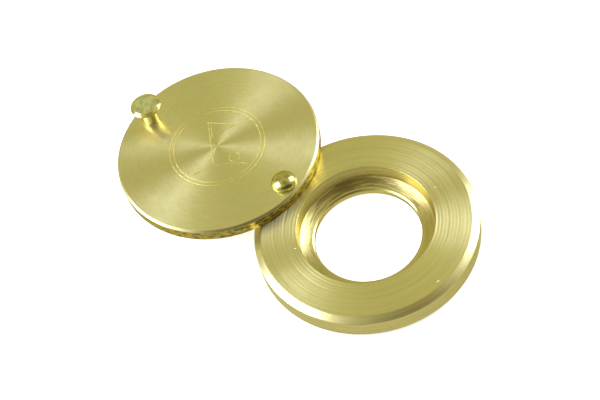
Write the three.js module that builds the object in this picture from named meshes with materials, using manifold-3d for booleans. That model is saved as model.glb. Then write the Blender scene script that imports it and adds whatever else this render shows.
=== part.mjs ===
// A swivel-cover ball marker in turned brass: a bevelled ring with a stepped bore, and a flat
// cover disc that swings across it on a rivet, pushed by a mushroom-shaped thumb knob.
// Millimetres, +Z up. The origin is the middle of the open marker's footprint, on the surface
// that the ring lies on. The cover is at rest fully open, beside the bore, and turns all the way round.

import * as THREE from 'three';
import { mergeVertices } from 'three/addons/utils/BufferGeometryUtils.js';
import Module from 'manifold-3d';

// ---- driving dimensions ----

const RING_RADIUS = 16;
const RING_HEIGHT = 3.7;
const RING_BEVEL = 1.0; // inward run of the bevel round the top
const RING_BEVEL_DROP = 0.55;
const RING_FOOT_BREAK = 0.5; // chamfer round the underside

const MOUTH_RADIUS = 9.85; // the bore, from the top down
const STEP_RADIUS = 9.68;
const STEP_HEIGHT = 1.58;
const SEAT_HOLLOW = 0.08; // depth of the concave seat between step and lip
const LIP_RADIUS = 7.95;
const LIP_HEIGHT = 0.94;
const HOLE_RADIUS = 7.7;
const HOLE_EDGE_DROP = 0.2; // the broken edge between lip and hole

const COVER_RADIUS = 15.2;
const COVER_THICKNESS = 1.95;
const COVER_BEVEL = 0.28;
const COVER_FOOT_BREAK = 0.1;
const COVER_LIFT = 0.1; // the washer's gap between ring and cover
const SWING_OPEN = 174; // degrees, anticlockwise from lying over the ring

const RING_ARM = 13.25; // from the ring's centre to the rivet
const COVER_ARM = 12.85; // from the cover's centre to the rivet
const SHANK_RADIUS = 0.8;
const RUNNING_CLEARANCE = 0.05;
const FIT_CLEARANCE = 0.02;
const RIVET_HEAD_RADIUS = 1.85;
const RIVET_HEAD_HEIGHT = 1.3;
const TAIL_RADIUS = 1.35; // countersunk foot of the rivet and of the knob
const TAIL_DEPTH = 0.55;

const WASHER_RADIUS = 1.7;
const WASHER_THICKNESS = 0.06;

const KNOB_ARM = 12.4; // from the cover's centre
const KNOB_ANGLE = 6; // degrees past the point opposite the rivet
const KNOB_STEM_RADIUS = 1.2;
const KNOB_HEAD_RADIUS = 2.3;
const KNOB_NECK_HEIGHT = 2.7; // all above the cover's top face
const KNOB_RIM_LOW = 3.06;
const KNOB_RIM_HIGH = 3.22;
const KNOB_CROWN_LOW = 3.45;
const KNOB_HEIGHT = 3.5;
const KNOB_CROWN_RADIUS = 1.85; // where the rim's sloping shoulder meets the crowned top

const LARGE_SIDES = 96;
const SMALL_SIDES = 32;
const CUT_OVERRUN = 0.5; // how far a cutter runs past the face that it opens

// ---- levels and places that follow from them ----

const COVER_BOTTOM = RING_HEIGHT + COVER_LIFT;
const COVER_TOP = COVER_BOTTOM + COVER_THICKNESS;
const swing = THREE.MathUtils.degToRad(SWING_OPEN);
const pivotFromRing = new THREE.Vector2(-RING_ARM, 0);
const coverFromRing = new THREE.Vector2(Math.cos(swing), Math.sin(swing))
  .multiplyScalar(COVER_ARM)
  .add(pivotFromRing);
const ringCentre = new THREE.Vector2(
  -(coverFromRing.x - COVER_RADIUS + RING_RADIUS) / 2,
  -(coverFromRing.y + COVER_RADIUS - RING_RADIUS) / 2,
);

// ---- solids ----

const wasm = await Module();
wasm.setup();

/** Revolves [radius, height] points about Z. */
function turned(points, sides) {
  const profile = points.map(([radius, height]) => new THREE.Vector2(radius, height));
  return new THREE.LatheGeometry(profile, sides).rotateX(Math.PI / 2);
}

function toSolid(geometry) {
  const bare = geometry.clone();
  bare.deleteAttribute('normal');
  bare.deleteAttribute('uv');
  const merged = mergeVertices(bare, 1e-5);
  return new wasm.Manifold(new wasm.Mesh({
    numProp: 3,
    vertProperties: new Float32Array(merged.attributes.position.array),
    triVerts: new Uint32Array(merged.index.array),
  }));
}

function cut(geometry, ...cutters) {
  let solid = toSolid(geometry);
  for (const cutter of cutters) solid = solid.subtract(toSolid(cutter));
  const mesh = solid.getMesh();
  const result = new THREE.BufferGeometry();
  result.setAttribute('position', new THREE.BufferAttribute(mesh.vertProperties, 3));
  result.setIndex(new THREE.BufferAttribute(mesh.triVerts, 1));
  result.computeVertexNormals();
  return result;
}

/** A through hole with a countersink at its bottom, to fit a countersunk tail at that level. */
function tailHole(bottom, top, radius) {
  const sink = TAIL_RADIUS + FIT_CLEARANCE;
  return turned([
    [0, bottom - CUT_OVERRUN],
    [sink, bottom - CUT_OVERRUN],
    [sink, bottom],
    [radius, bottom + TAIL_DEPTH],
    [radius, top + CUT_OVERRUN],
    [0, top + CUT_OVERRUN],
  ], SMALL_SIDES);
}

/** The points of a countersunk tail and its shank, from the axis up to a shoulder. */
function tailPoints(bottom, shoulder) {
  const foot = bottom + FIT_CLEARANCE;
  return [
    [0, foot],
    [TAIL_RADIUS - FIT_CLEARANCE, foot],
    [SHANK_RADIUS, foot + TAIL_DEPTH],
    [SHANK_RADIUS, shoulder],
  ];
}

/** Points on a quarter ellipse from the rim at [radius, low] over to the axis at height high. */
function domePoints(radius, low, high, steps) {
  const points = [];
  for (let i = 0; i <= steps; i += 1) {
    const turn = (i / steps) * (Math.PI / 2);
    const reach = i === steps ? 0 : radius * Math.cos(turn);
    points.push([reach, low + (high - low) * Math.sin(turn)]);
  }
  return points;
}

/** Points across the bore's hollow seat, from the step down to the lip. */
function seatPoints(steps) {
  const step = new THREE.Vector2(STEP_RADIUS, STEP_HEIGHT);
  const lip = new THREE.Vector2(LIP_RADIUS, LIP_HEIGHT);
  const across = new THREE.Vector2(STEP_HEIGHT - LIP_HEIGHT, LIP_RADIUS - STEP_RADIUS).normalize();
  const bend = step.clone().add(lip).divideScalar(2).addScaledVector(across, 2 * SEAT_HOLLOW);
  return new THREE.QuadraticBezierCurve(step, bend, lip).getPoints(steps).map((p) => p.toArray());
}

// ---- sub-parts, each in the ring's own frame or in the cover's ----

function baseRing() {
  const blank = turned([
    [HOLE_RADIUS, 0],
    [RING_RADIUS - RING_FOOT_BREAK, 0],
    [RING_RADIUS, RING_FOOT_BREAK],
    [RING_RADIUS, RING_HEIGHT - RING_BEVEL_DROP],
    [RING_RADIUS - RING_BEVEL, RING_HEIGHT],
    [MOUTH_RADIUS, RING_HEIGHT],
    ...seatPoints(4),
    [HOLE_RADIUS, LIP_HEIGHT - HOLE_EDGE_DROP],
    [HOLE_RADIUS, 0],
  ], LARGE_SIDES);
  const rivetHole = tailHole(0, RING_HEIGHT, SHANK_RADIUS + FIT_CLEARANCE);
  return cut(blank, rivetHole.translate(pivotFromRing.x, pivotFromRing.y, 0));
}

/** The cover, centred on the rivet, with its own centre at +X when it lies over the ring. */
function coverDisc() {
  const blank = turned([
    [0, COVER_BOTTOM],
    [COVER_RADIUS - COVER_FOOT_BREAK, COVER_BOTTOM],
    [COVER_RADIUS, COVER_BOTTOM + COVER_FOOT_BREAK],
    [COVER_RADIUS, COVER_TOP - COVER_BEVEL],
    [COVER_RADIUS - COVER_BEVEL, COVER_TOP],
    [0, COVER_TOP],
  ], LARGE_SIDES).translate(COVER_ARM, 0, 0);
  const runningRadius = SHANK_RADIUS + RUNNING_CLEARANCE;
  const rivetHole = turned([
    [0, COVER_BOTTOM - CUT_OVERRUN],
    [runningRadius, COVER_BOTTOM - CUT_OVERRUN],
    [runningRadius, COVER_TOP + CUT_OVERRUN],
    [0, COVER_TOP + CUT_OVERRUN],
  ], SMALL_SIDES);
  const knobHole = tailHole(COVER_BOTTOM, COVER_TOP, SHANK_RADIUS + FIT_CLEARANCE);
  return cut(blank, rivetHole, knobHole.translate(...knobPlace()));
}

function knobPlace() {
  const angle = THREE.MathUtils.degToRad(KNOB_ANGLE);
  return [COVER_ARM + KNOB_ARM * Math.cos(angle), KNOB_ARM * Math.sin(angle), 0];
}

function pivotRivet() {
  const shoulder = COVER_TOP + FIT_CLEARANCE;
  const dome = domePoints(RIVET_HEAD_RADIUS, shoulder, COVER_TOP + RIVET_HEAD_HEIGHT, 6);
  return turned([...tailPoints(0, shoulder), ...dome], SMALL_SIDES);
}

function pivotWasher() {
  const bore = SHANK_RADIUS + RUNNING_CLEARANCE;
  const low = RING_HEIGHT + FIT_CLEARANCE;
  const high = low + WASHER_THICKNESS;
  return turned([
    [bore, low],
    [WASHER_RADIUS, low],
    [WASHER_RADIUS, high],
    [bore, high],
    [bore, low],
  ], SMALL_SIDES);
}

function thumbKnob() {
  const shoulder = COVER_TOP + FIT_CLEARANCE;
  return turned([
    ...tailPoints(COVER_BOTTOM, shoulder),
    [KNOB_STEM_RADIUS, shoulder],
    [KNOB_STEM_RADIUS, COVER_TOP + KNOB_NECK_HEIGHT],
    [KNOB_HEAD_RADIUS, COVER_TOP + KNOB_RIM_LOW],
    [KNOB_HEAD_RADIUS, COVER_TOP + KNOB_RIM_HIGH],
    ...domePoints(KNOB_CROWN_RADIUS, COVER_TOP + KNOB_CROWN_LOW, COVER_TOP + KNOB_HEIGHT, 4),
  ], SMALL_SIDES);
}

// ---- materials ----

const turnedBrass = { color: 0xb7aa62, roughness: 0.34, metalness: 1 };
const polishedBrass = { color: 0xc9b765, roughness: 0.1, metalness: 1 };
const shimBrass = { color: 0x9a8a48, roughness: 0.45, metalness: 1 };

function subPart(name, geometry, finish) {
  const mesh = new THREE.Mesh(geometry, new THREE.MeshStandardMaterial(finish));
  mesh.name = name;
  return mesh;
}

// ---- assembly ----

const cover = new THREE.Group();
cover.position.set(pivotFromRing.x, pivotFromRing.y, 0);
cover.rotation.z = swing;
const knob = subPart('thumb_knob', thumbKnob(), polishedBrass);
knob.position.set(...knobPlace());
cover.add(subPart('cover_disc', coverDisc(), turnedBrass), knob);

const rivet = subPart('pivot_rivet', pivotRivet(), polishedBrass);
const washer = subPart('pivot_washer', pivotWasher(), shimBrass);
for (const piece of [rivet, washer]) piece.position.set(pivotFromRing.x, pivotFromRing.y, 0);

const marker = new THREE.Group();
marker.position.set(ringCentre.x, ringCentre.y, 0);
marker.add(subPart('base_ring', baseRing(), turnedBrass), rivet, washer, cover);

export default marker;
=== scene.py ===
"""The looks of the swivel-cover ball marker: turned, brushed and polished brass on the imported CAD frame.

Lengths are in metres, in the row's frame. Those the frame doesn't give are written in millimetres, times MM.
"""

import math

import bmesh
import bpy
from mathutils import Matrix, Vector
from mathutils.geometry import delaunay_2d_cdt

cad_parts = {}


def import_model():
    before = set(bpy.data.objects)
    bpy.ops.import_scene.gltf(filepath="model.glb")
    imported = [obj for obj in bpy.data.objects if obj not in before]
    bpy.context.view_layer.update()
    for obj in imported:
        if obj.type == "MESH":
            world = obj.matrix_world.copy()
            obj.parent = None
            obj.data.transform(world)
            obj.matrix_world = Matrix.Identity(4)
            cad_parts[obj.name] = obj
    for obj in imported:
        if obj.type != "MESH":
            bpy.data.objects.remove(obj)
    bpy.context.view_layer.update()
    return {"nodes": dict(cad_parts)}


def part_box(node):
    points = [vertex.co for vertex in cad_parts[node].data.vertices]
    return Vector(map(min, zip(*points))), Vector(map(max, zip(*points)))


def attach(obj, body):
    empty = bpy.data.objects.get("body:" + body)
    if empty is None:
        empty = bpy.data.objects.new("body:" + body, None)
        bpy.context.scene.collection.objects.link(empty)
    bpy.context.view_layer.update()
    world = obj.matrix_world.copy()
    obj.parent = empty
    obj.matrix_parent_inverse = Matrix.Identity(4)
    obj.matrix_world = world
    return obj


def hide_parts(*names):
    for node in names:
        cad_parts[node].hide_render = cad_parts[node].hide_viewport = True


MM = 0.001

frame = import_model()


# ---- places and sizes, from the frame ----

def axis_of(node):
    """The centre of a round node's footprint."""
    low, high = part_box(node)
    return Vector(((low.x + high.x) / 2, (low.y + high.y) / 2, 0))


def radius_of(node):
    centre = axis_of(node)
    return max((Vector((v.co.x, v.co.y, 0)) - centre).length for v in frame["nodes"][node].data.vertices)


RING_CENTRE = axis_of("base_ring")
COVER_CENTRE = axis_of("cover_disc")
KNOB_CENTRE = axis_of("thumb_knob")
PIVOT = axis_of("pivot_rivet")
RING_RADIUS = radius_of("base_ring")
RING_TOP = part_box("base_ring")[1].z
COVER_RADIUS = radius_of("cover_disc")
COVER_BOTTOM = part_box("cover_disc")[0].z
COVER_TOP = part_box("cover_disc")[1].z
RIVET_RADIUS = radius_of("pivot_rivet")
RIVET_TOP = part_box("pivot_rivet")[1].z
KNOB_RADIUS = radius_of("thumb_knob")
KNOB_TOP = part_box("thumb_knob")[1].z


# ---- turned meshes ----

def rounded(corners, steps=5):
    """The profile through (radius, height, rounding, finish) corners, with an arc of that rounding at each.

    Each point comes back as (place, finish), and the finish is that of the stretch that it starts.
    """
    profile = []
    last = len(corners) - 1
    for i, (x, z, rounding, finish) in enumerate(corners):
        here = Vector((x, z))
        if rounding <= 0 or i in (0, last):
            profile.append((here, finish))
            continue
        to_last = (Vector(corners[i - 1][:2]) - here).normalized()
        to_next = (Vector(corners[i + 1][:2]) - here).normalized()
        half = math.acos(max(-1.0, min(1.0, to_last.dot(to_next)))) / 2
        start = here + to_last * (rounding / math.tan(half))
        end = here + to_next * (rounding / math.tan(half))
        centre = here + (to_last + to_next).normalized() * (rounding / math.sin(half))
        first = start - centre
        sweep = first.angle_signed(end - centre)
        for k in range(steps + 1):
            profile.append((centre + Matrix.Rotation(-sweep * k / steps, 2) @ first, finish))
    return profile


def revolved(profile, sides, closed=False):
    """A profile revolved about Z, and its last loop of vertices. A closed profile joins up with its start."""
    bm = bmesh.new()
    loops = []
    for (x, z), _ in profile:
        if x < 1e-9:
            loops.append([bm.verts.new((0, 0, z))])
            continue
        angles = (2 * math.pi * side / sides for side in range(sides))
        loops.append([bm.verts.new((x * math.cos(a), x * math.sin(a), z)) for a in angles])
    pairs = list(zip(loops, loops[1:]))
    if closed:
        pairs.append((loops[-1], loops[0]))
    for (low, high), (_, finish) in zip(pairs, profile):
        for here in range(sides):
            there = (here + 1) % sides
            around = [low[here % len(low)], low[there % len(low)],
                      high[there % len(high)], high[here % len(high)]]
            corners = [v for i, v in enumerate(around) if v not in around[:i]]
            if len(corners) > 2:
                bm.faces.new(corners).material_index = finish
    return bm, loops[-1]


def turned(name, bm, place, sharp_degrees=25):
    """Makes a revolved mesh a piece that stands on its own axis."""
    bmesh.ops.recalc_face_normals(bm, faces=bm.faces)
    mesh = bpy.data.meshes.new(name)
    bm.to_mesh(mesh)
    bm.free()
    mesh.polygons.foreach_set("use_smooth", [True] * len(mesh.polygons))
    mesh.set_sharp_from_angle(angle=math.radians(sharp_degrees))
    piece = bpy.data.objects.new(name, mesh)
    piece.location = place
    bpy.context.scene.collection.objects.link(piece)
    return piece


LARGE_SIDES = 256
SMALL_SIDES = 96
SOFT_EDGE = 0.1 * MM  # roundings
CRISP_EDGE = 0.05 * MM
FINE_EDGE = 0.03 * MM
EDGE_MARGIN = 0.12 * MM  # a flat strip beside a rounded edge, which keeps the flat's shading flat
FACE, EDGE, INNER, HOLLOW = 0, 1, 2, 3  # places in a piece's list of finishes


# ---- base ring ----

RING_BEVEL = 1.0 * MM
RING_BEVEL_DROP = 0.55 * MM
MOUTH_RADIUS = 9.85 * MM
STEP_RADIUS = 9.68 * MM
STEP_HEIGHT = 1.58 * MM
SEAT_HOLLOW = 0.08 * MM
LIP_RADIUS = 7.95 * MM
LIP_HEIGHT = 0.94 * MM
LIP_LAND = 0.2 * MM  # the nearly flat strip between seat and lip
LIP_LAND_RISE = 0.02 * MM
HOLE_RADIUS = 7.7 * MM
HOLE_EDGE_DROP = 0.2 * MM
FOOT_BREAK = 0.5 * MM
BEVEL_SOFTENING = 0.35 * MM  # roundings between bevel and face, and between lip and hole
HOLE_SOFTENING = 0.12 * MM
FACE_MARK_PITCH = 0.5 * MM  # the tool's feed marks
FACE_MARK_DEPTH = 0.016 * MM
FACE_MARK_FADE = 0.7  # how much shallower they are at the outer edge
WALL_MARK_PITCH = 0.36 * MM
WALL_MARK_DEPTH = 0.018 * MM
SEAT_MARK_PITCH = 0.3 * MM
SEAT_MARK_DEPTH = 0.005 * MM
MARK_WANDER = 0.55  # how unevenly deep all of these are
MARK_WANDER_STEP = 2.4  # radians, from one mark to the next


def feed_marks(start, end, pitch, depth, finish, fade=0.0, sag=0.0, steps=6):
    """Corners of the shallow ripples that the tool left between two points of the profile.

    The ripples are shallower at the start by the share `fade`. Half way, the surface sags by `sag`.
    """
    start, end = Vector(start), Vector(end)
    span = end - start
    inward = Vector((-span.y, span.x)).normalized()
    count = round(span.length / pitch)
    corners = []
    for i in range(1, count * steps):
        share = i / (count * steps)
        uneven = 1 + MARK_WANDER * math.sin(MARK_WANDER_STEP * (i // steps))
        dip = (1 - math.cos(2 * math.pi * i / steps)) / 2
        ripple = depth * (1 - fade + fade * share) * uneven * dip
        bow = 4 * sag * share * (1 - share)
        place = start + span * share + inward * (ripple + bow)
        corners.append((*place, 0, finish))
    return corners


def base_ring():
    face_start = (RING_RADIUS - RING_BEVEL - EDGE_MARGIN, RING_TOP)
    face_end = (MOUTH_RADIUS + EDGE_MARGIN, RING_TOP)
    wall_start = (MOUTH_RADIUS, RING_TOP - EDGE_MARGIN)
    step = (STEP_RADIUS, STEP_HEIGHT)
    land = (LIP_RADIUS + LIP_LAND, LIP_HEIGHT + LIP_LAND_RISE)
    corners = [
        (HOLE_RADIUS + 2 * EDGE_MARGIN, 0, 0, FACE),
        (RING_RADIUS - FOOT_BREAK, 0, SOFT_EDGE, EDGE),
        (RING_RADIUS, FOOT_BREAK, SOFT_EDGE, EDGE),
        (RING_RADIUS, RING_TOP - RING_BEVEL_DROP, SOFT_EDGE, EDGE),
        (RING_RADIUS - RING_BEVEL, RING_TOP, BEVEL_SOFTENING, FACE),
        *feed_marks(face_start, face_end, FACE_MARK_PITCH, FACE_MARK_DEPTH, FACE, fade=FACE_MARK_FADE),
        (MOUTH_RADIUS, RING_TOP, CRISP_EDGE, INNER),
        (*wall_start, 0, INNER),
        *feed_marks(wall_start, step, WALL_MARK_PITCH, WALL_MARK_DEPTH, INNER),
        (*step, 0, HOLLOW),
        *feed_marks(step, land, SEAT_MARK_PITCH, SEAT_MARK_DEPTH, HOLLOW, sag=SEAT_HOLLOW),
        (*land, SOFT_EDGE, INNER),
        (LIP_RADIUS, LIP_HEIGHT, SOFT_EDGE, INNER),
        (HOLE_RADIUS, LIP_HEIGHT - HOLE_EDGE_DROP, HOLE_SOFTENING, INNER),
        (HOLE_RADIUS, 0, FINE_EDGE, FACE),
        (HOLE_RADIUS + 2 * EDGE_MARGIN, 0, 0, FACE),
    ]
    bm, _ = revolved(rounded(corners)[:-1], LARGE_SIDES, closed=True)
    return turned("base_ring_turned", bm, RING_CENTRE)


# ---- cover disc, with its engraved mark ----

COVER_BEVEL = 0.28 * MM
COVER_EDGE = 0.04 * MM  # rounding on both sides of the bevel
GROOVE_WIDTH = 0.18 * MM
GROOVE_DEPTH = 0.03 * MM
MARK_TURN = math.radians(40)  # of the flag's upright, from the row's +Y while the cover is open


def arc(centre, radius, start, end, steps):
    """Points on an arc in the mark's millimetres, between two angles in degrees."""
    angles = (math.radians(start + (end - start) * i / steps) for i in range(steps + 1))
    return [Vector(centre) + radius * Vector((math.cos(a), math.sin(a))) for a in angles]


def flag_mark():
    """A generic golf flag and ball in a double circle, as (points, closed) strokes in millimetres."""
    outer_radius, inner_radius = 7.2, 6.6
    stick_top, stick_foot = Vector((-0.9, 4.7)), Vector((-0.9, -3.3))
    flag = [stick_top + Vector(corner) for corner in ((0.35, -0.1), (4.0, -1.4), (0.35, -2.7))]
    green_centre, green_radius = (0, -14.2), 10.6
    ball_centre, ball_radius = (2.3, -2.75), 0.8
    return [
        (arc((0, 0), outer_radius, 0, 360, 144)[:-1], True),
        (arc((0, 0), inner_radius, 0, 360, 132)[:-1], True),
        ([stick_top, stick_foot], False),
        (flag, True),
        (arc(green_centre, green_radius, 68, 112, 32), False),
        (arc(ball_centre, ball_radius, 0, 360, 32)[:-1], True),
    ]


def offset(points, closed, distance):
    """The points moved sideways off their line, mitred at the corners."""
    moved = []
    last = len(points) - 1
    for i, here in enumerate(points):
        before = points[i - 1] if closed or i > 0 else None
        after = points[(i + 1) % len(points)] if closed or i < last else None
        along = [(b - a).normalized() for a, b in ((before, here), (here, after)) if a and b]
        middle = sum(along, Vector((0, 0))).normalized()
        side = Vector((-middle.y, middle.x))
        stretch = side.dot(Vector((-along[0].y, along[0].x)))
        moved.append(here + side * (distance / stretch))
    return moved


def engraved_face(bm, rim):
    """Fills the rim with a flat face at the cover's top, cut by a V groove along each stroke of the mark."""
    points = [v.co.xy / MM for v in rim]
    edges = []
    groove_floor = set()
    upright = Matrix.Rotation(MARK_TURN, 2)

    def add_line(line, closed):
        first = len(points)
        points.extend(line)
        count = len(line)
        edges.extend((first + i, first + (i + 1) % count) for i in range(count if closed else count - 1))
        return range(first, first + count)

    edges.extend((i, (i + 1) % len(rim)) for i in range(len(rim)))
    half = GROOVE_WIDTH / 2 / MM
    for stroke, closed in flag_mark():
        stroke = [upright @ point for point in stroke]
        left, right = offset(stroke, closed, half), offset(stroke, closed, -half)
        groove_floor.update(add_line(stroke, closed))
        if closed:
            add_line(left, True)
            add_line(right, True)
        else:
            start = stroke[0] + (stroke[0] - stroke[1]).normalized() * half
            end = stroke[-1] + (stroke[-1] - stroke[-2]).normalized() * half
            add_line([start, *left, end, *reversed(right)], True)
    flat, _, triangles, origins, _, _ = delaunay_2d_cdt(points, edges, [], 0, 1e-6)
    verts = []
    for point, sources in zip(flat, origins):
        on_rim = [i for i in sources if i < len(rim)]
        if on_rim:
            verts.append(rim[on_rim[0]])
            continue
        depth = GROOVE_DEPTH if groove_floor.intersection(sources) else 0
        verts.append(bm.verts.new((point.x * MM, point.y * MM, COVER_TOP - depth)))
    for triangle in triangles:
        corners = [verts[i] for i in triangle]
        cut = any(v.co.z < COVER_TOP - GROOVE_DEPTH / 2 for v in corners)
        bm.faces.new(corners).material_index = HOLLOW if cut else FACE


def cover_disc():
    corners = [
        (0, COVER_BOTTOM, 0, FACE),
        (COVER_RADIUS - 3 * EDGE_MARGIN, COVER_BOTTOM, 0, FACE),
        (COVER_RADIUS, COVER_BOTTOM, SOFT_EDGE, EDGE),
        (COVER_RADIUS, COVER_TOP - COVER_BEVEL, COVER_EDGE, INNER),
        (COVER_RADIUS - COVER_BEVEL, COVER_TOP, COVER_EDGE, FACE),
        (COVER_RADIUS - COVER_BEVEL - EDGE_MARGIN, COVER_TOP, 0, FACE),
    ]
    bm, rim = revolved(rounded(corners), LARGE_SIDES)
    engraved_face(bm, rim)
    return turned("cover_disc_turned", bm, COVER_CENTRE, sharp_degrees=15)


# ---- rivet and knob ----

SEAT_GAP = 0.02 * MM
TAIL_RADIUS = 1.33 * MM
TAIL_DEPTH = 0.55 * MM
SHANK_RADIUS = 0.8 * MM
RIVET_RIM = 0.1 * MM  # height of the straight rim under the dome
RIVET_UNDERCUT = 0.06 * MM
DOME_STEPS = 24
STEM_RADIUS = 1.2 * MM
STEM_WAIST = 0.08 * MM  # how much thinner the stem's foot is
STEM_WAIST_HEIGHT = 0.15 * MM
STEM_WAIST_SLOPE = 0.1 * MM
STEM_SOFTENING = 0.08 * MM
FLARE_DROP = 0.8 * MM  # from the knob's top down to where the stem widens into the head
FLARE_SOFTENING = 0.25 * MM
RIM_LOW_DROP = 0.44 * MM
RIM_HIGH_DROP = 0.3 * MM
RIM_SOFTENING = 0.07 * MM
CROWN_DROP = 0.04 * MM
CROWN_SOFTENING = 0.4 * MM
KNOB_SHOULDER = 0.55 * MM  # width of the sloping shoulder round the crown


def tail(bottom, shoulder):
    """Corners of a countersunk foot and its shank, from the axis up to a shoulder."""
    foot = bottom + SEAT_GAP
    return [
        (0, foot, 0, FACE),
        (TAIL_RADIUS, foot, 0, FACE),
        (SHANK_RADIUS, foot + TAIL_DEPTH, 0, FACE),
        (SHANK_RADIUS, shoulder, 0, FACE),
    ]


def pivot_rivet():
    seat = COVER_TOP + SEAT_GAP
    dome_foot = seat + RIVET_RIM
    climbs = (math.pi / 2 * step / DOME_STEPS for step in range(DOME_STEPS))
    dome = [(RIVET_RADIUS * math.cos(climb), dome_foot + (RIVET_TOP - dome_foot) * math.sin(climb), 0, FACE)
            for climb in climbs]
    corners = [*tail(0, seat), (RIVET_RADIUS - RIVET_UNDERCUT, seat, 0, FACE), *dome, (0, RIVET_TOP, 0, FACE)]
    bm, _ = revolved(rounded(corners), SMALL_SIDES)
    return turned("pivot_rivet_domed", bm, PIVOT)


def thumb_knob():
    seat = COVER_TOP + SEAT_GAP
    waist_top = seat + STEM_WAIST_HEIGHT
    corners = [
        *tail(COVER_BOTTOM, seat),
        (STEM_RADIUS - STEM_WAIST, seat, 0, INNER),
        (STEM_RADIUS - STEM_WAIST, waist_top, FINE_EDGE, INNER),
        (STEM_RADIUS, waist_top + STEM_WAIST_SLOPE, STEM_SOFTENING, INNER),
        (STEM_RADIUS, KNOB_TOP - FLARE_DROP, FLARE_SOFTENING, EDGE),
        (KNOB_RADIUS, KNOB_TOP - RIM_LOW_DROP, CRISP_EDGE, EDGE),
        (KNOB_RADIUS, KNOB_TOP - RIM_HIGH_DROP, RIM_SOFTENING, EDGE),
        (KNOB_RADIUS - KNOB_SHOULDER, KNOB_TOP - CROWN_DROP, CROWN_SOFTENING, FACE),
        (0, KNOB_TOP, 0, FACE),
    ]
    bm, _ = revolved(rounded(corners), SMALL_SIDES)
    return turned("thumb_knob_polished", bm, KNOB_CENTRE)


# ---- materials ----

class Graph:
    """Short ways to add and link the nodes of one material or world."""

    def __init__(self, tree):
        self.tree = tree

    def add(self, kind, inputs=(), **settings):
        node = self.tree.nodes.new("ShaderNode" + kind)
        for name, value in settings.items():
            setattr(node, name, value)
        for socket, value in dict(inputs).items():
            self.give(node.inputs[socket], value)
        return node

    def give(self, socket, value):
        """Links an output to the socket, or sets its value."""
        if isinstance(value, bpy.types.NodeSocket):
            self.tree.links.new(value, socket)
        else:
            socket.default_value = value

    def math(self, operation, a, b=0.0):
        return self.add("Math", {0: a, 1: b}, operation=operation).outputs[0]

    def vector(self, operation, a, b=(0, 0, 0)):
        return self.add("VectorMath", {0: a, 1: b}, operation=operation)

    def noise(self, place, scale, detail):
        return self.add("TexNoise", {"Vector": place, "Scale": scale, "Detail": detail}).outputs["Fac"]

    def remap(self, value, low, high, to_low, to_high):
        inputs = {"Value": value, "From Min": low, "From Max": high, "To Min": to_low, "To Max": to_high}
        return self.add("MapRange", inputs, interpolation_type="SMOOTHSTEP").outputs["Result"]

    def mix(self, factor, a, b, blend_type="MIX"):
        inputs = {"Factor": factor, 6: a, 7: b}
        return self.add("Mix", inputs, data_type="RGBA", blend_type=blend_type).outputs[2]

    def total(self, *values):
        result = values[0]
        for value in values[1:]:
            result = self.math("ADD", result, value)
        return result


def new_material(name):
    material = bpy.data.materials.new(name)
    material.use_nodes = True
    return material, Graph(material.node_tree), material.node_tree.nodes["Principled BSDF"]


def emboss(graph, shader, height):
    """Bumps a material's surface by a height in metres."""
    bump = graph.add("Bump", {"Height": height, "Distance": 1.0, "Strength": 1.0})
    graph.give(shader.inputs["Normal"], bump.outputs["Normal"])


class Lathe:
    """The coordinates of a surface that was turned about its own axis."""

    def __init__(self, graph, climb):
        """The grooves lie one pitch apart along radius + climb x height."""
        self.graph = graph
        self.place = graph.add("TexCoord").outputs["Object"]
        flat = graph.vector("MULTIPLY", self.place, (1, 1, 0)).outputs["Vector"]
        height = graph.add("SeparateXYZ", {0: self.place}).outputs["Z"]
        radius = graph.vector("LENGTH", flat).outputs["Value"]
        self.heading = graph.vector("NORMALIZE", flat).outputs["Vector"]
        self.across = graph.total(radius, graph.math("MULTIPLY", height, climb))

    def grooves(self, pitch, turns, detail=2.0):
        """Noise drawn out round the axis, that changes about `turns` times in a radian."""
        graph = self.graph
        count = graph.math("DIVIDE", self.across, pitch)
        around = graph.vector("SCALE", self.heading)
        around.inputs["Scale"].default_value = turns
        lift = graph.add("CombineXYZ", {"Z": count}).outputs[0]
        return graph.noise(graph.vector("ADD", around.outputs["Vector"], lift).outputs["Vector"], 1, detail)

    def patches(self, size, detail=3.0):
        """Noise of about the same size in every direction."""
        return self.graph.noise(self.place, 1 / size, detail)

    def specks(self, spacing, size, share):
        """1 in small round specks, in that share of the cells of a random pattern, and 0 elsewhere."""
        graph = self.graph
        cells = graph.add("TexVoronoi", {"Vector": self.place, "Scale": 1 / spacing})
        near = graph.remap(cells.outputs["Distance"], size / spacing / 2, size / spacing, 1.0, 0.0)
        pick = graph.add("SeparateColor", {0: cells.outputs["Color"]}).outputs["Red"]
        return graph.math("MULTIPLY", near, graph.math("LESS_THAN", pick, share))


# Each brass is a pair of tints that alternate in patches, in most of them a greener one and a redder one.
CUT_BRASS = (0.745, 0.70, 0.24, 1), (0.825, 0.685, 0.27, 1)
FACED_BRASS = (0.81, 0.785, 0.33, 1), (0.895, 0.77, 0.37, 1)
BRUSHED_BRASS = (0.80, 0.785, 0.36, 1), (0.885, 0.77, 0.40, 1)
AGED_BRASS = (0.57, 0.545, 0.17, 1), (0.64, 0.55, 0.15, 1)
HANDLED_BRASS = (0.84, 0.88, 0.54, 1), (0.62, 0.60, 0.26, 1)
# A darker tint for the seat inside the bore.
DARKER_SEAT_BRASS = (0.68, 0.63, 0.20, 1), (0.78, 0.62, 0.23, 1)
# A darker, browner tint that paints shade and dark reflections onto the cover's side wall beside the ring.
SHADED_SIDE_BRASS = (0.70, 0.62, 0.15, 1), (0.80, 0.60, 0.17, 1)
BRIGHT_BRASS = (0.76, 0.70, 0.20, 1), (0.84, 0.70, 0.22, 1)
SHIM_BRASS = (0.60, 0.54, 0.22, 1), (0.42, 0.36, 0.15, 1)
# The brown of the stains. Where a lean pushes the stains to one side, it also paints shade there.
STAIN_AND_SHADE = (0.24, 0.18, 0.07, 1)
GRAZING_TINT = (0.6, 0.56, 0.3, 1)  # grooved brass stays yellow at grazing angles

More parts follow.
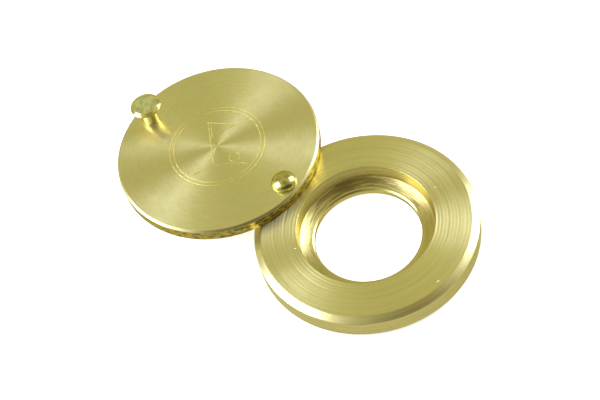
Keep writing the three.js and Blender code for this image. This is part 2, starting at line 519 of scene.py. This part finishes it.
HAIRLINE_PITCH = 0.05 * MM  # the finest lathe lines
HAIRLINE_HEIGHT = 0.00006 * MM
LINE_PITCH = 0.22 * MM
LINE_HEIGHT = 0.0003 * MM
STAIN_PITCH = 0.35 * MM
MOTTLE_SIZE = 0.45 * MM
MOTTLE_HEIGHT = 0.0003 * MM
CHATTER_SIZE = 0.8 * MM
QUARTER_TURN = 0.25  # between the shader's direction of blur and grooves that run round the axis
WEAR_SIZE = 2.5 * MM
WEAR_SWING = 0.04  # of the roughness
PIT_DEPTH = 0.03 * MM
WAVE_SIZE = 0.9 * MM  # left by a soft buffing wheel
WAVE_HEIGHT = 0.04 * MM
SWIRL_SIZE = 0.12 * MM
SWIRL_HEIGHT = 0.0003 * MM
ROLLING_SCALE = (300, 12000, 300)  # per metre: rolling lines are long along X
ROLLING_HEIGHT = 0.001 * MM
TARNISH_SIZE = 0.5 * MM


def centred(graph, noise, swing):
    """Noise, which is about 0.5 on average, as a value of up to `swing` to either side of 0."""
    return graph.math("MULTIPLY", graph.math("SUBTRACT", noise, 0.5), 2 * swing)


def streaked(graph, tints, fine_patches, streaks, darkest):
    """The base colour: brass that leans from one tint to the other in patches, with darker streaks."""
    tinted = graph.mix(graph.remap(fine_patches, 0.35, 0.65, 0.0, 1.0), *tints)
    shade = graph.remap(streaks, 0.3, 0.7, darkest, 1.03)
    tone = graph.add("CombineColor", {"Red": shade, "Green": shade, "Blue": shade}).outputs[0]
    return graph.mix(1.0, tinted, tone, "MULTIPLY")


def turned_brass(name, tints, roughness, anisotropy, climb=0.0, turns=1.0, groove_depth=1.0, chatter=0.0,
                 darkest=0.95, stain_and_shade=0.0, painted_shade_lean=(0, 0, 0), speck=0.0):
    """Brass straight off the lathe: round grooves of several widths, chatter across them, and brown stains.

    The brown smears are stains. Where the lean vector pushes them to one side, the extra darkening there is
    painted shade. The heights of chatter and speck are in metres.
    """
    material, graph, shader = new_material(name)
    lathe = Lathe(graph, climb)
    hairlines = lathe.grooves(HAIRLINE_PITCH, 3 * turns)
    lines = lathe.grooves(LINE_PITCH, turns, 3)
    mottling = lathe.patches(MOTTLE_SIZE)
    clean = streaked(graph, tints, mottling, lines, darkest)
    # Painted shade: the lean adds more brown smears on one side of the piece, where it stands in shade.
    shade_lean = graph.vector("DOT_PRODUCT", lathe.heading, painted_shade_lean).outputs["Value"]
    smears_and_shade = graph.total(lathe.grooves(STAIN_PITCH, 3 * turns, 3), shade_lean)
    stain_and_shade_share = graph.remap(smears_and_shade, 0.5, 0.75, 0.0, stain_and_shade)
    graph.give(shader.inputs["Base Color"], graph.mix(stain_and_shade_share, clean, STAIN_AND_SHADE))
    shader.inputs["Metallic"].default_value = 1
    shader.inputs["Specular Tint"].default_value = GRAZING_TINT
    wear = centred(graph, lathe.patches(WEAR_SIZE), WEAR_SWING)
    graph.give(shader.inputs["Roughness"], graph.total(centred(graph, lines, WEAR_SWING), wear, roughness))
    shader.inputs["Anisotropic"].default_value = anisotropy
    shader.inputs["Anisotropic Rotation"].default_value = QUARTER_TURN
    tangent = graph.add("Tangent", direction_type="RADIAL", axis="Z")
    graph.give(shader.inputs["Tangent"], tangent.outputs["Tangent"])
    specks = lathe.specks(spacing=2.6 * MM, size=0.17 * MM, share=0.35)
    pits = lathe.specks(spacing=3.1 * MM, size=0.16 * MM, share=0.2)
    emboss(graph, shader, graph.total(
        centred(graph, hairlines, HAIRLINE_HEIGHT * groove_depth),
        centred(graph, lines, LINE_HEIGHT * groove_depth),
        centred(graph, mottling, MOTTLE_HEIGHT),
        centred(graph, lathe.patches(CHATTER_SIZE, 1.0), chatter),
        graph.math("MULTIPLY", specks, speck),
        graph.math("MULTIPLY", pits, -PIT_DEPTH),
    ))
    return material


def polished_brass(name, tints, roughness, blotches):
    """Buffed brass: a soft waviness, faint buffing swirls and dull blotches."""
    material, graph, shader = new_material(name)
    place = graph.add("TexCoord").outputs["Object"]
    waves = graph.noise(place, 1 / WAVE_SIZE, 2)
    swirls = graph.noise(place, 1 / SWIRL_SIZE, 4)
    graph.give(shader.inputs["Base Color"], graph.mix(graph.remap(waves, 0.35, 0.65, 0.0, 1.0), *tints))
    shader.inputs["Metallic"].default_value = 1
    graph.give(shader.inputs["Roughness"], graph.total(
        graph.remap(waves, 0.4, 0.65, 0.0, blotches), centred(graph, swirls, 0.03), roughness))
    emboss(graph, shader, graph.total(
        centred(graph, waves, WAVE_HEIGHT * blotches), centred(graph, swirls, SWIRL_HEIGHT)))
    return material


def shim_brass():
    """Thin rolled sheet, with straight rolling lines and a dull tarnish."""
    material, graph, shader = new_material("rolled_shim")
    place = graph.add("TexCoord").outputs["Object"]
    lines = graph.noise(graph.vector("MULTIPLY", place, ROLLING_SCALE).outputs["Vector"], 1, 3)
    tarnish = graph.noise(place, 1 / TARNISH_SIZE, 3)
    graph.give(shader.inputs["Base Color"], graph.mix(graph.remap(tarnish, 0.35, 0.7, 0.0, 1.0), *SHIM_BRASS))
    shader.inputs["Metallic"].default_value = 1
    graph.give(shader.inputs["Roughness"], graph.total(centred(graph, lines, 0.1), 0.45))
    emboss(graph, shader, centred(graph, lines, ROLLING_HEIGHT))
    return material


# ---- stage ----

VIEW_AZIMUTH = math.radians(46.15)
VIEW_ELEVATION = math.radians(53.49)
VIEW_ROLL = math.radians(-17.215)
VIEW_DISTANCE = 205.67 * MM
LENS = 84.45  # millimetres, on a sensor of SENSOR_WIDTH
SENSOR_WIDTH = 36
TARGET_FROM_RING = Vector((-7.761 * MM, 9.636 * MM, 0.5 * MM))  # in the stage's frame


def to_row(vector):
    """Turns a direction from the stage's frame, where the camera looks along +Y, to the row's."""
    return Matrix.Rotation(VIEW_AZIMUTH, 3, "Z") @ Vector(vector)


def camera():
    data = bpy.data.cameras.new("camera")
    data.lens = LENS
    data.sensor_width = SENSOR_WIDTH
    data.clip_start = 0.01
    data.clip_end = 10
    back = to_row((0, -math.cos(VIEW_ELEVATION), math.sin(VIEW_ELEVATION)))
    right = to_row((1, 0, 0))
    up = back.cross(right)
    rolled_right = right * math.cos(VIEW_ROLL) + up * math.sin(VIEW_ROLL)
    rolled_up = up * math.cos(VIEW_ROLL) - right * math.sin(VIEW_ROLL)
    item = bpy.data.objects.new("camera", data)
    turn = Matrix((rolled_right, rolled_up, back)).transposed().to_4x4()
    target = RING_CENTRE + to_row(TARGET_FROM_RING)
    item.matrix_world = Matrix.Translation(target + back * VIEW_DISTANCE) @ turn
    bpy.context.scene.collection.objects.link(item)
    bpy.context.scene.camera = item


def towards(azimuth, elevation):
    """A direction in the stage's frame. Azimuth 0 is the camera's side, and 90 is on its right."""
    turn, lift = math.radians(azimuth), math.radians(elevation)
    return Vector((math.sin(turn) * math.cos(lift), -math.cos(turn) * math.cos(lift), math.sin(lift)))


SOFTBOX_DISTANCE = 0.6
SOFTBOX_COLOUR = (0.9, 0.97, 1.4)  # so blue that yellow brass still mirrors it as white


def softbox(name, azimuth, elevation, size, power):
    data = bpy.data.lights.new(name, "AREA")
    data.shape = "RECTANGLE"
    data.size, data.size_y = size
    data.energy = power
    data.color = SOFTBOX_COLOUR
    item = bpy.data.objects.new(name, data)
    away = to_row(towards(azimuth, elevation))
    item.location = RING_CENTRE + away * SOFTBOX_DISTANCE
    item.rotation_euler = away.to_track_quat("Z", "Y").to_euler()
    bpy.context.scene.collection.objects.link(item)


FLOOR_SIZE = 4
FLOOR_GAP = 0.02 * MM
FLOOR_WHITE = (0.9, 0.9, 0.9, 1)
FLOOR_GLOW = 0.6
MIRRORED_FLOOR = (0.65, 0.62, 0.50, 1)


def floor():
    """White paper where the camera sees it, and a middle tone where the brass mirrors it."""
    bpy.ops.mesh.primitive_plane_add(size=FLOOR_SIZE, location=(0, 0, -FLOOR_GAP))
    plane = bpy.context.object
    plane.name = "floor"
    material, graph, shader = new_material("floor_white")
    shader.inputs["Base Color"].default_value = FLOOR_WHITE
    shader.inputs["Roughness"].default_value = 0.9
    shader.inputs["Emission Color"].default_value = (1, 1, 1, 1)
    shader.inputs["Emission Strength"].default_value = FLOOR_GLOW
    mirrored = graph.add("Emission", {"Color": MIRRORED_FLOOR})
    path = graph.add("LightPath")
    mix = graph.add("MixShader", {
        "Fac": path.outputs["Is Camera Ray"], 1: mirrored.outputs["Emission"], 2: shader.outputs["BSDF"]})
    graph.give(material.node_tree.nodes["Material Output"].inputs["Surface"], mix.outputs["Shader"])
    plane.data.materials.append(material)


AMBIENT = (0.62, 0.60, 0.42, 1)
# Darker or tinted patches of the studio, as (azimuth, elevation, inner and outer angle in degrees, colour).
PATCHES = (
    (180, 42, 8, 34, (0.58, 0.57, 0.31, 1)),
    (180, 2, 10, 28, (0.50, 0.46, 0.14, 1)),
    (-138, 42, 4, 24, (0.38, 0.34, 0.16, 1)),
    (145, 42, 4, 24, (0.38, 0.34, 0.16, 1)),
    (10, 86, 4, 20, (0.30, 0.27, 0.13, 1)),
    (12, 39, 14, 33, (0.06, 0.05, 0.035, 1)),
    (-21, 30, 10, 28, (0.09, 0.08, 0.05, 1)),
    (41, 30, 10, 28, (0.09, 0.08, 0.05, 1)),
    (50, 62, 4, 14, (0.40, 0.25, 0.10, 1)),
)


def world():
    scene_world = bpy.data.worlds.new("studio")
    bpy.context.scene.world = scene_world
    scene_world.use_nodes = True
    graph = Graph(scene_world.node_tree)
    direction = graph.add("TexCoord").outputs["Generated"]
    colour = AMBIENT
    for azimuth, elevation, inner, outer, tint in PATCHES:
        middle = to_row(towards(azimuth, elevation))
        nearness = graph.vector("DOT_PRODUCT", direction, middle).outputs["Value"]
        far, near = math.cos(math.radians(outer)), math.cos(math.radians(inner))
        share = graph.remap(nearness, far, near, 0.0, 1.0)
        colour = graph.mix(share, colour, tint)
    graph.give(scene_world.node_tree.nodes["Background"].inputs["Color"], colour)


camera()
floor()
world()
softbox("left_softbox", -94, 32, (0.37, 0.56), 3.8)
softbox("right_softbox", 111, 30, (0.27, 0.46), 2.65)
bpy.context.scene.view_settings.view_transform = "Standard"


# ---- assembly ----

ring_face = turned_brass("feed_marked_face", FACED_BRASS, 0.31, 0.87, turns=0.8, groove_depth=2.5,
                         darkest=0.92, speck=0.04 * MM)
cover_face = turned_brass("brushed_face", BRUSHED_BRASS, 0.31, 0.87, turns=8, groove_depth=1.5, darkest=0.96)
ring_edge = turned_brass("turned_edge", FACED_BRASS, 0.36, 0.6, climb=-1, chatter=0.006 * MM, darkest=0.9,
                         stain_and_shade=0.2)
# Painted shade: the cover's side wall is tinted darker and browner, and its brown smears gather on the side
# towards the ring, in place of the shade between cover and ring. The smears elsewhere are stains.
shade_towards_ring = (0.12, -0.03, 0)
cover_side_shaded = turned_brass("chattered_edge_painted_shade", SHADED_SIDE_BRASS, 0.34, 0.6, climb=-1, turns=6, chatter=0.03 * MM,
                          darkest=0.8, stain_and_shade=1.0, painted_shade_lean=shade_towards_ring)
cover_bevel = turned_brass("bright_bevel", FACED_BRASS, 0.33, 0.6, climb=-1)
wall = turned_brass("turned_wall", CUT_BRASS, 0.3, 0.7, climb=1, groove_depth=2.5, darkest=0.85)
# Painted shade: the seat's brown smears gather on its side away from the camera, making it darker there in
# place of how light falls into the bore. The smears elsewhere are stains.
shade_away_from_camera = (-0.13, 0.13, 0)
seat = turned_brass("turned_seat_painted_shade", DARKER_SEAT_BRASS, 0.38, 0.7, climb=1, groove_depth=2.5, darkest=0.85,
                    stain_and_shade=0.75, painted_shade_lean=shade_away_from_camera)
engraving = polished_brass("engraved_groove", BRIGHT_BRASS, 0.36, 0.1)
dome = polished_brass("buffed_dome", AGED_BRASS, 0.2, 0.04)
knob_face = polished_brass("handled_crown", HANDLED_BRASS, 0.2, 0.15)
knob_rim = polished_brass("polished_rim", BRIGHT_BRASS, 0.12, 0.04)
stem = turned_brass("turned_stem", FACED_BRASS, 0.2, 0.5, climb=-1)

for piece, node, body, finishes, slot in (
    (base_ring(), "base_ring", "base", (ring_face, ring_edge, wall, seat), "turned_brass"),
    (cover_disc(), "cover_disc", "cover", (cover_face, cover_side_shaded, cover_bevel, engraving), "turned_brass"),
    (pivot_rivet(), "pivot_rivet", "base", (dome,), "polished_brass"),
    (thumb_knob(), "thumb_knob", "cover", (knob_face, knob_rim, stem), "polished_brass"),
):
    for finish in finishes:
        piece.data.materials.append(finish)
    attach(piece, body)
    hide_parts(node)

frame["nodes"]["pivot_washer"].material_slots[0].material = shim_brass()
